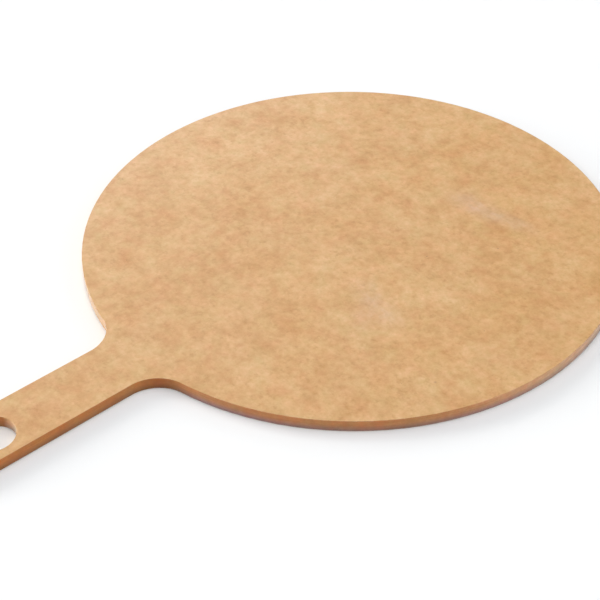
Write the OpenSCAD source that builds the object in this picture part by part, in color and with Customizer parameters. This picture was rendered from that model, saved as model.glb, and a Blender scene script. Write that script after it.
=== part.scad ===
// Round pizza serving board with a straight handle and a hanging hole.
// It is one pressed wood-fibre laminate: a core with a thin face sheet bonded to each side.
// The origin is the centre of the round plate, on the face that the board rests on.
// +Z points up, and the handle points to -Y.

/* [Plate] */
// Diameter of the round plate
plate_d = 305; // [220:1:420]
// Thickness of the finished board
board_t = 6.9; // [4:0.1:12]

/* [Handle] */
// Length by which the handle stands out past the plate
handle_l = 125; // [100:1:200]
// Width of the handle, whose end is a half round
handle_w = 35.5; // [30:0.5:60]
// Radius of the inside corner on each side, where the handle leaves the plate
corner_r = 20.5; // [8:0.5:30]

/* [Hanging hole] */
// Diameter of the hole
hole_d = 24.5; // [10:0.5:26]
// Distance from the centre of the hole to the end of the handle
hole_to_end = 37.5; // [20:0.5:60]

/* [Laminate] */
// Thickness of each face sheet
face_t = 0.8; // [0.3:0.1:1.5]

/* [Edges] */
// Radius to which the rims of the board and of the hole are eased
edge_r = 0.3; // [0.2:0.1:0.8]

/* [Hidden] */
$fn = 180;

// Overrun of each cut past the material
cut_over = 1;
// Depth by which the circle of an inside corner crosses the plate's rim and the handle's side,
// so that they meet in a clean line
corner_bite = 0.05;

plate_r = plate_d / 2;
handle_r = handle_w / 2;
hole_r = hole_d / 2;

// Centre of the right-hand inside corner
corner_x = handle_r + corner_r - corner_bite;
corner_y = -sqrt(pow(plate_r + corner_r - corner_bite, 2) - pow(corner_x, 2));

handle_end_y = -plate_r - handle_l;
round_end_y = handle_end_y + handle_r;
hole_y = handle_end_y + hole_to_end;

// Height of each joint line between a face sheet and the core
lower_joint_z = face_t;
upper_joint_z = board_t - face_t;

// Half of the board's cross-section, out to a rim at reach, kept between the heights low and high
module half_section(reach, low, high) {
    intersection() {
        union() {
            square([reach - edge_r, board_t]);
            translate([0, edge_r]) square([reach, board_t - 2 * edge_r]);
            for (z = [edge_r, board_t - edge_r]) translate([reach - edge_r, z]) circle(edge_r);
        }
        translate([0, low]) square([reach, high - low]);
    }
}

// Part of a cutter's cross-section that eases the rim on the face at height zero
module rim_flare(radius) {
    translate([radius, -cut_over]) difference() {
        square([edge_r, cut_over + edge_r]);
        translate([edge_r, cut_over + edge_r]) circle(edge_r);
    }
}

// Round cutter that goes right through the board and leaves an eased rim on both faces
module round_cutter(radius) {
    rotate_extrude() {
        translate([0, -cut_over]) square([radius, board_t + 2 * cut_over]);
        rim_flare(radius);
        translate([0, board_t]) mirror([0, 1]) rim_flare(radius);
    }
}

// The round plate
module plate_part(low, high) {
    rotate_extrude() half_section(plate_r, low, high);
}

// The neck: from the centre of the plate to the handle, with an inside corner cut into each side
module neck_part(low, high) {
    difference() {
        translate([0, 0, low]) linear_extrude(high - low)
            polygon([[0, 0], [-corner_x, corner_y], [corner_x, corner_y]]);
        for (side = [-1, 1]) translate([side * corner_x, corner_y, 0]) round_cutter(corner_r);
    }
}

// The straight part of the handle, which runs in from the centre of the plate
module handle_part(low, high) {
    rotate([90, 0, 0]) linear_extrude(-round_end_y) {
        half_section(handle_r, low, high);
        mirror([1, 0]) half_section(handle_r, low, high);
    }
}

// The half-round end of the handle
module handle_end_part(low, high) {
    translate([0, round_end_y, 0]) rotate([0, 0, 180])
        rotate_extrude(angle = 180) half_section(handle_r, low, high);
}

// One layer of the laminate in the outline of the board, between the heights low and high
module board_layer(low, high) {
    difference() {
        union() {
            plate_part(low, high);
            neck_part(low, high);
            handle_part(low, high);
            handle_end_part(low, high);
        }
        translate([0, hole_y, 0]) round_cutter(hole_r);
    }
}

module top_face_sheet() {
    color("burlywood") board_layer(upper_joint_z, board_t);
}

module core() {
    color("peru") board_layer(lower_joint_z, upper_joint_z);
}

module bottom_face_sheet() {
    color("tan") board_layer(0, lower_joint_z);
}

top_face_sheet();
core();
bottom_face_sheet();
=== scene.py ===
import math

import bpy
from mathutils import Matrix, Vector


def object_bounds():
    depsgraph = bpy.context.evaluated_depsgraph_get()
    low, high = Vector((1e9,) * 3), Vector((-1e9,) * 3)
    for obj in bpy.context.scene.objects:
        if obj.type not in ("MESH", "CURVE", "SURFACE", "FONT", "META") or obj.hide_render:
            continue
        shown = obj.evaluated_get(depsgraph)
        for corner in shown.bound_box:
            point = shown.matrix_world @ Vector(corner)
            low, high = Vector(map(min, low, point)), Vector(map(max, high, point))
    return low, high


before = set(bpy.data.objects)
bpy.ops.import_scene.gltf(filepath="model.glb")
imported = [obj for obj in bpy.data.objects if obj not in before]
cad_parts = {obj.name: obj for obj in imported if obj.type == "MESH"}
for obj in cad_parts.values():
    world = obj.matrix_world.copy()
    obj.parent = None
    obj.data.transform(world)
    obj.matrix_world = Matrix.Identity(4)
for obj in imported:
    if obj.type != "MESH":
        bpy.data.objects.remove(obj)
cad_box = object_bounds()
board_low, board_high = cad_box
board_t = board_high[2] - board_low[2]

# Lengths are metres, angles are degrees and colours are linear.

# The camera, as solved from the photograph's outline of the board
CAMERA_PLACE = (0.49399, -0.46650, 0.52173)
CAMERA_AZIMUTH = 49.123
CAMERA_ELEVATION = 39.685
CAMERA_ROLL = -0.929
CAMERA_LENS_MM = 89.597
CAMERA_REACH = (0.01, 50.0)
SENSOR_MM = 36.0

# The floor and the studio around it
FLOOR_WIDTH = 12.0
FLOOR_GAP = 0.00045
FLOOR_WHITE = 0.9
FLOOR_TINT = (0.982, 1.0, 1.013)
LAMP_DISTANCE = 7.0
SKY_LIGHT = 0.135
SKY_HORIZON = 0.9
SKY_HORIZON_TOP = 0.12
SKY_WHITE = (1.0, 1.0, 1.0, 1.0)
KEY_WARM = (1.05, 1.0, 0.94)
FILL_COOL = (0.985, 1.0, 1.02)

# Colours of the board. A tint is three factors for red, green and blue, and a share says how far each of them
# follows a change in brightness.
FACE_TAN = (0.594, 0.346, 0.150)
EDGE_BROWN = (0.395, 0.132, 0.018)
SPECK_BROWN = (0.25, 0.12, 0.05)
SCUFF_PALE = (0.62, 0.52, 0.47)
NO_TINT = (1.0, 1.0, 1.0)
NOISE_MIDDLE = 0.5
MOTTLE_REACH = 0.3

# The fibre face: its noises, then how much they change which colours, from wide clouds to fine grains
FACE_NOISES = {
    "wide": dict(size=0.045, detail=1.0, roughness=1.0, distortion=0.2),
    "clouds": dict(size=0.011, detail=1.0, roughness=1.0, distortion=0.2, shift=(2.1, 0.7, 0.4)),
    "grains": dict(size=0.0028, detail=2.0, roughness=0.7, shift=(0.9, 4.7, 0.2)),
    "hue": dict(size=0.014, detail=2.0, roughness=0.8, distortion=0.2, shift=(3.1, 1.7, 0.4)),
    "pale": dict(size=0.045, detail=2.0, roughness=0.8, shift=(1.3, 5.2, 0.9)),
    "patches": dict(size=0.007, detail=3.0, roughness=0.7, shift=(4.4, 0.3, 0.8)),
    "knots": dict(size=0.0034, detail=2.0, roughness=0.6, shift=(5.3, 2.8, 0.6)),
}
FACE_MOTTLES = (
    ("wide", 0.43, (0.50, 1.00, 1.65)),
    ("clouds", 0.53, (0.62, 1.02, 1.65)),
    ("grains", 0.42, (0.68, 1.08, 2.25)),
    ("hue", 0.14, (1.0, -0.9, -0.2)),
    ("pale", 0.08, (-0.6, -0.3, 1.0)),
)
# Painted sheen and shade: the face is lighter towards the far side and darker towards the near side, between
# these values of y
FACE_NEAR_Y = -0.15
FACE_FAR_Y = 0.15
FACE_NEAR_PAINTED_SHADE = (0.975, 0.965, 0.955)
FACE_FAR_PAINTED_SHEEN = (1.03, 1.045, 1.065)
PATCH_RANGE = (0.54, 0.66)
PATCH_TINT = (0.972, 0.948, 0.93)
KNOT_RANGE = (0.55, 0.72)
KNOT_TINT = (0.91, 0.87, 0.79)
KNOT_GAP_TINT = (1.011, 1.014, 1.021)
CLOUD_RANGE = (0.35, 0.65)
FACE_ROUGHNESS = (0.46, 0.38)
FACE_BUMP = 0.00002
BOTTOM_SHIFT = (0.7, 0.4, 0.2)

# Its short fibres, which lie in several directions, and its tiny specks
FIBRE_ANGLES = (8, 52, 97, 141)
FIBRE_WIDTH = 0.0004
FIBRE_SHAPE = (1.0, 0.09, 0.0)
FIBRE_RANGE = (-0.2, 0.2)
FIBRE_DARK_TINT = (0.96, 0.94, 0.89)
FIBRE_PALE_TINT = (1.04, 1.06, 1.11)
FIBRE_HEIGHT = 0.5
SPECK_CELL = 0.022
SPECK_SHARE = 0.12
SPECK_RADIUS = 0.0004
SPECK_SOFTNESS = 0.35

# Faint scuffs on the serving face: one end, the other end, half of the width, and the strength
SCUFFS = (
    ((0.0130, 0.0690), (0.0700, 0.0790), 0.0100, 0.20),
    ((0.0130, 0.0740), (0.0480, 0.0700), 0.0140, 0.14),
    ((0.0330, -0.0250), (0.0760, -0.0370), 0.0120, 0.17),
    ((0.0450, -0.0300), (0.0660, -0.0520), 0.0110, 0.12),
)
# A scuff fades out between these shares of its length, counted from its middle. Its noise thins it: a range
# of the noise, and the shares of the scuff that are left at the two ends of that range.
SCUFF_FADE = (0.25, 0.65)
SCUFF_NOISE = dict(size=0.004, detail=4.0, roughness=0.8, shape=(0.4, 1.0, 1.0))
SCUFF_RUB = (0.4, 0.6, 0.3, 1.0)
# One small dark fleck there: its place, its radius and its strength
FLECKS = (((0.1197, -0.0530), 0.0012, 0.45),)

# The cut edge: its noises, and how much they change which colours
EDGE_NOISES = {
    "plies": dict(size=0.0006, detail=3.0, roughness=0.8, shape=(0.03, 0.03, 1.0)),
    "blotches": dict(size=0.006, detail=4.0, roughness=0.9),
    "reds": dict(size=0.012, detail=3.0, roughness=0.8, shift=(2.2, 0.6, 0.1)),
}
EDGE_MOTTLES = (
    ("plies", 0.8, (0.80, 1.00, 1.36)),
    ("blotches", 0.8, (0.80, 1.00, 1.36)),
    ("reds", 0.6, (0.6, -0.7, -1.0)),
)
BLOTCH_RANGE = (0.3, 0.7)
EDGE_ROUGHNESS = (0.17, 0.10)
EDGE_BUMP = 0.00001
# Where a surface's upright share turns it from cut edge into face, in colour and in roughness
FACE_COLOUR_TURN = (0.30, 0.85)
FACE_ROUGHNESS_TURN = (0.93, 0.998)

# Painted shade: the edge's foot is darker up to this share of the thickness. In front it is greyer too, a
# painted
# reflection: that starts over one range of x, and over the next it fades to a share.
FOOT_SHARE = 0.7
FOOT_PAINTED_SHADE = (0.55, 0.64, 1.0)
FOOT_REFLECTION_START_X = (0.02, 0.05)
FOOT_REFLECTION_FADE_X = (0.07, 0.125, 1.0, 0.35)
FOOT_PAINTED_REFLECTION = (1.03, 1.30, 3.2)
# Painted reflection: how the edge pales with x: where a tint starts, where it is full, and the tint
EDGE_PAINTED_REFLECTIONS = (
    (0.02, 0.05, (1.0, 1.12, 2.1)),
    (0.125, 0.152, (1.10, 1.30, 1.8)),
)
# Painted light and reflection: it pales more along the rims that face left and right as the camera sees
# them. A reach is how far a place lies towards the left side.
LEFT_SIDE = (-0.656, -0.755, 0.0)
LEFT_REACH = (0.0, 0.13)
LEFT_HANDLE_X = (-0.008, -0.017)
LEFT_PAINTED_LIGHT = (1.60, 2.75, 8.5)
RIGHT_REACH = (-0.045, -0.105)
RIGHT_PAINTED_LIGHT = (1.22, 1.40, 1.75)
# Painted shade: it is darker in the near inside corner between the plate and the handle
CORNER_PLACE = (0.0234, -0.155)
CORNER_RADIUS = 0.014
CORNER_PAINTED_SHADE = (0.76, 0.58, 0.30)
# The hanging hole, as in part.scad. Its wall pales with painted light where it faces left. HOLE_WALL and
# HOLE_REACH are shares of its radius.
HOLE_CENTRE = (0.0, -0.24)
HOLE_RADIUS = 0.01225
HOLE_WALL = (1.1, 1.2)
HOLE_REACH = (-0.30, -0.95)
HOLE_FOOT_RANGE = (0.6, 0.95)
HOLE_PAINTED_LIGHT = (2.1, 4.15, 15.5)


def look(azimuth, elevation, roll=0.0):
    """Turns a camera or lamp, which looks down its own -Z, to look along an azimuth and down an elevation."""
    turn = Matrix.Rotation(math.radians(azimuth), 4, "Z")
    tilt = Matrix.Rotation(math.radians(90 - elevation), 4, "X")
    return turn @ tilt @ Matrix.Rotation(math.radians(roll), 4, "Z")


def make_camera():
    data = bpy.data.cameras.new("camera")
    data.sensor_width = SENSOR_MM
    data.lens = CAMERA_LENS_MM
    data.clip_start, data.clip_end = CAMERA_REACH
    camera = bpy.data.objects.new("camera", data)
    turn = look(CAMERA_AZIMUTH, CAMERA_ELEVATION, CAMERA_ROLL)
    camera.matrix_world = Matrix.Translation(CAMERA_PLACE) @ turn
    bpy.context.scene.collection.objects.link(camera)
    bpy.context.scene.camera = camera


def softbox(name, azimuth, elevation, half_angle, floor_light, colour):
    """A square soft lamp that shines along an azimuth and down an elevation, as wide as its half angle says.

    floor_light is how bright it alone would make the white floor below the board, if it were a small lamp."""
    data = bpy.data.lights.new(name, "AREA")
    data.shape = "RECTANGLE"
    data.size = data.size_y = 2 * LAMP_DISTANCE * math.tan(math.radians(half_angle))
    data.color = colour
    steepness = math.sin(math.radians(elevation))
    data.energy = math.pi ** 2 * floor_light * LAMP_DISTANCE ** 2 / (FLOOR_WHITE * steepness)
    lamp = bpy.data.objects.new(name, data)
    lamp.matrix_world = look(azimuth, elevation) @ Matrix.Translation((0, 0, LAMP_DISTANCE))
    bpy.context.scene.collection.objects.link(lamp)


def node(tree, kind, inputs=None, **settings):
    """A new shader node. Each input is a number, a colour, or another node's output."""
    made = tree.nodes.new("ShaderNode" + kind)
    for name, value in settings.items():
        setattr(made, name, value)
    for name, value in (inputs or {}).items():
        if isinstance(value, bpy.types.NodeSocket):
            tree.links.new(value, made.inputs[name])
        else:
            made.inputs[name].default_value = value
    return made


def calculate(tree, operation, first, second=0.0):
    return node(tree, "Math", {0: first, 1: second}, operation=operation).outputs[0]


def both(tree, first, second):
    """The product of two masks."""
    return calculate(tree, "MULTIPLY", first, second)


def part_of(tree, vector, axis):
    """The x, y or z of a vector, as axis 0, 1 or 2."""
    return node(tree, "SeparateXYZ", {0: vector}).outputs[axis]


def stretch(tree, value, low, high, to_low=0.0, to_high=1.0, smooth=False):
    """The value, moved from the range low to high into the range to_low to to_high, and held there."""
    return node(
        tree, "MapRange",
        {"Value": value, "From Min": low, "From Max": high, "To Min": to_low, "To Max": to_high},
        interpolation_type="SMOOTHSTEP" if smooth else "LINEAR",
    ).outputs["Result"]


def mix(tree, factor, first, second, blend="MIX"):
    """Two colours mixed. Each is a tuple of red, green and blue, or another node's output."""
    made = node(tree, "Mix", data_type="RGBA", blend_type=blend)
    for socket, value in ((made.inputs[0], factor), (made.inputs[6], first), (made.inputs[7], second)):
        if isinstance(value, bpy.types.NodeSocket):
            tree.links.new(value, socket)
        elif isinstance(value, tuple):
            socket.default_value = (*value, 1.0)
        else:
            socket.default_value = value
    return made.outputs[2]


def tint(tree, colour, amount, high, low=NO_TINT):
    """The colour multiplied by the tint low where the amount is 0, and by the tint high where it is 1."""
    return mix(tree, 1.0, colour, mix(tree, amount, low, high), "MULTIPLY")


def moved(tree, place, shift):
    return node(tree, "VectorMath", {0: place, 1: shift}, operation="ADD").outputs[0]


def scaled(tree, place, scale):
    return node(tree, "VectorMath", {0: place, 1: scale}, operation="MULTIPLY").outputs[0]


def turned(tree, place, angle):
    turn = {"Vector": place, "Angle": math.radians(angle)}
    return node(tree, "VectorRotate", turn, rotation_type="Z_AXIS").outputs[0]


def seen_from(tree, place, centre):
    """The place, counted from a centre that is given as x and y."""
    return moved(tree, place, (-centre[0], -centre[1], 0.0))


def away_from(tree, place, centre):
    """How far a place lies from the upright line through a centre."""
    flat = scaled(tree, seen_from(tree, place, centre), (1.0, 1.0, 0.0))
    return node(tree, "VectorMath", {0: flat}, operation="LENGTH").outputs["Value"]


def noise(tree, place, size, detail, roughness=0.5, distortion=0.0, shift=None, shape=None):
    """Cloudy noise whose largest lumps are about size metres. A low number in its shape draws them out."""
    if shift:
        place = moved(tree, place, shift)
    if shape:
        place = scaled(tree, place, shape)
    inputs = {"Vector": place, "Scale": 1 / size}
    inputs.update({"Detail": detail, "Roughness": roughness, "Distortion": distortion})
    return node(tree, "TexNoise", inputs).outputs["Fac"]


def mottle(tree, colour, amount, change, shares):
    """The colour, darker and lighter by the change times how far the noise is from its middle."""
    darker, lighter = (
        tuple(1 + way * MOTTLE_REACH * change * share for share in shares) for way in (-1, 1)
    )
    spread = stretch(tree, amount, NOISE_MIDDLE - MOTTLE_REACH, NOISE_MIDDLE + MOTTLE_REACH)
    return tint(tree, colour, spread, lighter, darker)


def fibre_streaks(tree, place):
    """Short fine fibres that lie in several directions, as a value around zero."""
    total = 0.0
    for angle in FIBRE_ANGLES:
        fibres = noise(tree, turned(tree, place, angle), FIBRE_WIDTH, detail=1.0, shape=FIBRE_SHAPE)
        total = calculate(tree, "ADD", total, fibres)
    mean = calculate(tree, "MULTIPLY", total, 1 / len(FIBRE_ANGLES))
    return calculate(tree, "SUBTRACT", mean, NOISE_MIDDLE)


def specks(tree, place):
    """A mask of tiny specks, one in some of the cells of a scattered pattern."""
    scattered = node(tree, "TexVoronoi", {"Vector": place, "Scale": 1 / SPECK_CELL}, voronoi_dimensions="2D")
    chance = part_of(tree, scattered.outputs["Color"], 0)
    radius = SPECK_RADIUS / SPECK_CELL
    size = stretch(tree, chance, 1 - SPECK_SHARE, 1.0, 0.0, radius)
    gap = calculate(tree, "SUBTRACT", size, scattered.outputs["Distance"])
    return stretch(tree, gap, 0.0, SPECK_SOFTNESS * radius)


def scuff(tree, place, start, end, half_width):
    """A soft mask round a line on the face, broken up as a worn place is."""
    length = math.dist(start, end)
    angle = math.degrees(math.atan2(end[1] - start[1], end[0] - start[0]))
    local = turned(tree, seen_from(tree, place, start), -angle)
    along = calculate(tree, "ABSOLUTE", calculate(tree, "SUBTRACT", part_of(tree, local, 0), length / 2))
    inside = stretch(tree, along, *(share * length for share in SCUFF_FADE), 1.0, 0.0, smooth=True)
    across = calculate(tree, "ABSOLUTE", part_of(tree, local, 1))
    beside = stretch(tree, across, 0.0, half_width, 1.0, 0.0, smooth=True)
    worn = stretch(tree, noise(tree, local, **SCUFF_NOISE), *SCUFF_RUB)
    return both(tree, both(tree, inside, beside), worn)


def fleck(tree, place, centre, radius):
    """A soft round mask about a place on the serving face."""
    return stretch(tree, away_from(tree, place, centre), 0.0, radius, 1.0, 0.0, smooth=True)


def fibre_face(tree, place):
    """Colour, roughness and height of the pressed wood-fibre face."""
    noises = {name: noise(tree, place, **values) for name, values in FACE_NOISES.items()}
    far = stretch(tree, part_of(tree, place, 1), FACE_NEAR_Y, FACE_FAR_Y)
    # Painted sheen towards the far side, painted shade towards the near side
    colour = tint(tree, FACE_TAN, far, FACE_FAR_PAINTED_SHEEN, FACE_NEAR_PAINTED_SHADE)
    for name, change, shares in FACE_MOTTLES:
        colour = mottle(tree, colour, noises[name], change, shares)
    colour = tint(tree, colour, stretch(tree, noises["patches"], *PATCH_RANGE), PATCH_TINT)
    knots = stretch(tree, noises["knots"], *KNOT_RANGE)
    colour = tint(tree, colour, knots, KNOT_TINT, KNOT_GAP_TINT)
    fibres = fibre_streaks(tree, place)
    colour = tint(tree, colour, stretch(tree, fibres, *FIBRE_RANGE), FIBRE_PALE_TINT, FIBRE_DARK_TINT)
    colour = mix(tree, specks(tree, place), colour, SPECK_BROWN)
    roughness = stretch(tree, noises["clouds"], *CLOUD_RANGE, *FACE_ROUGHNESS)
    height = calculate(tree, "ADD", calculate(tree, "MULTIPLY", fibres, FIBRE_HEIGHT), noises["grains"])
    return colour, roughness, height


def left_reach(tree, place):
    """How far a place lies towards the left side."""
    return node(tree, "VectorMath", {0: place, 1: LEFT_SIDE}, operation="DOT_PRODUCT").outputs["Value"]


def left_rim_light(tree, place):
    """A mask of painted light that grows slowly towards the left rim, and stays off the right side of the
    handle.
    """
    grown = stretch(tree, left_reach(tree, place), *LEFT_REACH, smooth=True)
    return both(tree, grown, stretch(tree, part_of(tree, place, 0), *LEFT_HANDLE_X))


def hole_side_light(tree, place):
    """A mask of painted light on the wall of the hanging hole that grows towards the part of it that faces
    left.
    """
    wall = (HOLE_RADIUS * share for share in HOLE_WALL)
    near = stretch(tree, away_from(tree, place, HOLE_CENTRE), *wall, 1.0, 0.0)
    reach = (HOLE_RADIUS * share for share in HOLE_REACH)
    side = stretch(tree, left_reach(tree, seen_from(tree, place, HOLE_CENTRE)), *reach)
    return both(tree, side, near)


def lit_and_shaded_edge(tree, place, colour):
    """The edge's colour with painted light and shade: painted shade and reflection at its foot, painted light
    and reflection to its sides, and painted shade in its corner.
    """
    across = part_of(tree, place, 0)
    foot_top = board_low[2] + FOOT_SHARE * board_t
    above = stretch(tree, part_of(tree, place, 2), board_low[2], foot_top, smooth=True)
    left = left_rim_light(tree, place)
    hole = hole_side_light(tree, place)
    right = stretch(tree, left_reach(tree, place), *RIGHT_REACH, smooth=True)
    # Painted shade in the near inside corner
    corner = stretch(tree, away_from(tree, place, CORNER_PLACE), 0.0, CORNER_RADIUS, 1.0, 0.0, smooth=True)

    # The rims with painted light have no painted dark foot, and the painted grey reflection lies on the
    # painted dark foot only
    above = calculate(tree, "MAXIMUM", above, left)
    above = calculate(tree, "MAXIMUM", above, stretch(tree, hole, *HOLE_FOOT_RANGE))
    foot_reflection = calculate(tree, "SUBTRACT", 1.0, above)
    foot_reflection = both(tree, foot_reflection, stretch(tree, across, *FOOT_REFLECTION_START_X, smooth=True))
    foot_reflection = both(tree, foot_reflection, stretch(tree, across, *FOOT_REFLECTION_FADE_X))
    foot_reflection = both(tree, foot_reflection, calculate(tree, "SUBTRACT", 1.0, right))

    # Painted shade on the foot, then painted reflection over it
    colour = tint(tree, colour, above, NO_TINT, FOOT_PAINTED_SHADE)
    colour = tint(tree, colour, foot_reflection, FOOT_PAINTED_REFLECTION)
    # Painted reflection that grows with x
    for start, full, pale in EDGE_PAINTED_REFLECTIONS:
        colour = tint(tree, colour, stretch(tree, across, start, full, smooth=True), pale)
    # Painted light and reflection on the right and left rims, painted shade in the corner, painted light in
    # the hole
    for mask, change in ((right, RIGHT_PAINTED_LIGHT), (corner, CORNER_PAINTED_SHADE), (left, LEFT_PAINTED_LIGHT), (hole, HOLE_PAINTED_LIGHT)):
        colour = tint(tree, colour, mask, change)
    return colour


def cut_edge(tree, place):
    """Colour, roughness and height of the edge that the router cut through the pressed layers, with painted
    light and shade on its colour.
    """
    noises = {name: noise(tree, place, **values) for name, values in EDGE_NOISES.items()}
    colour = EDGE_BROWN
    for name, change, shares in EDGE_MOTTLES:
        colour = mottle(tree, colour, noises[name], change, shares)
    roughness = stretch(tree, noises["blotches"], *BLOTCH_RANGE, *EDGE_ROUGHNESS)
    return lit_and_shaded_edge(tree, place, colour), roughness, noises["plies"]


def new_material(name):
    material = bpy.data.materials.new(name)
    material.use_nodes = True
    tree = material.node_tree
    return material, tree, tree.nodes["Principled BSDF"]


def finish_shader(tree, shader, colour, roughness, height, depth):
    tree.links.new(colour, shader.inputs["Base Color"])
    tree.links.new(roughness, shader.inputs["Roughness"])
    bump = node(tree, "Bump", {"Height": height, "Strength": 1.0, "Distance": depth})
    tree.links.new(bump.outputs["Normal"], shader.inputs["Normal"])


def face_sheet_material(name, shift=(0.0, 0.0, 0.0), scuffs=(), flecks=()):
    """Fibre face on the flat, which turns into cut edge where the surface turns down over the rim."""
    material, tree, shader = new_material(name)
    place = node(tree, "TexCoord").outputs["Object"]
    face_colour, face_roughness, face_height = fibre_face(tree, moved(tree, place, shift))
    for start, end, half_width, strength in scuffs:
        amount = calculate(tree, "MULTIPLY", scuff(tree, place, start, end, half_width), strength)
        face_colour = mix(tree, amount, face_colour, SCUFF_PALE)
    for centre, radius, strength in flecks:
        amount = calculate(tree, "MULTIPLY", fleck(tree, place, centre, radius), strength)
        face_colour = mix(tree, amount, face_colour, SPECK_BROWN)
    edge_colour, edge_roughness, _ = cut_edge(tree, place)
    normal = node(tree, "NewGeometry").outputs["True Normal"]
    upright = calculate(tree, "ABSOLUTE", part_of(tree, normal, 2))
    colour = mix(tree, stretch(tree, upright, *FACE_COLOUR_TURN, smooth=True), edge_colour, face_colour)
    level = stretch(tree, upright, *FACE_ROUGHNESS_TURN)
    roughness = node(tree, "Mix", {0: level, 2: edge_roughness, 3: face_roughness}).outputs[0]
    finish_shader(tree, shader, colour, roughness, face_height, FACE_BUMP)
    return material


def core_material(name):
    material, tree, shader = new_material(name)
    place = node(tree, "TexCoord").outputs["Object"]
    finish_shader(tree, shader, *cut_edge(tree, place), EDGE_BUMP)
    return material


def dress(name, material):
    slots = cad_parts[name].data.materials
    slots.clear()
    slots.append(material)


def make_floor():
    half = FLOOR_WIDTH / 2
    corners = [(-half, -half, 0), (half, -half, 0), (half, half, 0), (-half, half, 0)]
    mesh = bpy.data.meshes.new("floor")
    mesh.from_pydata(corners, [], [(0, 1, 2, 3)])
    floor = bpy.data.objects.new("floor", mesh)
    floor.location.z = board_low[2] - FLOOR_GAP
    bpy.context.scene.collection.objects.link(floor)
    material, _, shader = new_material("floor_white")
    shader.inputs["Base Color"].default_value = (*(FLOOR_WHITE * share for share in FLOOR_TINT), 1.0)
    shader.inputs["Roughness"].default_value = 1.0
    shader.inputs["Specular IOR Level"].default_value = 0.0
    mesh.materials.append(material)


def make_sky():
    """Even light from all round, with a thin brighter band at the horizon."""
    world = bpy.data.worlds.new("studio")
    world.use_nodes = True
    bpy.context.scene.world = world
    tree = world.node_tree
    height = part_of(tree, node(tree, "TexCoord").outputs["Generated"], 2)
    light = stretch(tree, height, 0.0, SKY_HORIZON_TOP, SKY_HORIZON, SKY_LIGHT, smooth=True)
    background = tree.nodes["Background"]
    tree.links.new(light, background.inputs["Strength"])
    background.inputs["Color"].default_value = SKY_WHITE


make_camera()
bpy.context.scene.view_settings.view_transform = "Standard"
make_floor()
make_sky()
softbox("top_lamp", azimuth=0, elevation=90, half_angle=18, floor_light=0.224, colour=FILL_COOL)
softbox("right_lamp", azimuth=132, elevation=30, half_angle=18, floor_light=0.052, colour=FILL_COOL)
softbox("right_back_lamp", azimuth=160, elevation=30, half_angle=14, floor_light=0.028, colour=FILL_COOL)
softbox("right_low_lamp", azimuth=110, elevation=12, half_angle=8, floor_light=0.034, colour=FILL_COOL)
softbox("back_lamp", azimuth=240, elevation=20, half_angle=10, floor_light=0.069, colour=KEY_WARM)
softbox("back_high_lamp", azimuth=240, elevation=60, half_angle=15, floor_light=0.057, colour=KEY_WARM)
softbox("left_high_lamp", azimuth=270, elevation=36, half_angle=10, floor_light=0.095, colour=KEY_WARM)
softbox("left_low_lamp", azimuth=290, elevation=18, half_angle=10, floor_light=0.054, colour=KEY_WARM)
softbox("left_lamp", azimuth=290, elevation=30, half_angle=10, floor_light=0.023, colour=KEY_WARM)
softbox("left_edge_lamp", azimuth=315, elevation=10, half_angle=7, floor_light=0.048, colour=KEY_WARM)
softbox("front_lamp", azimuth=15, elevation=42, half_angle=14, floor_light=0.15, colour=FILL_COOL)
softbox("front_right_lamp", azimuth=52, elevation=42, half_angle=20, floor_light=0.16, colour=FILL_COOL)

dress("top_face_sheet", face_sheet_material("fibre_face_top", scuffs=SCUFFS, flecks=FLECKS))
dress("core", core_material("cut_edge"))
dress("bottom_face_sheet", face_sheet_material("fibre_face_bottom", shift=BOTTOM_SHIFT))
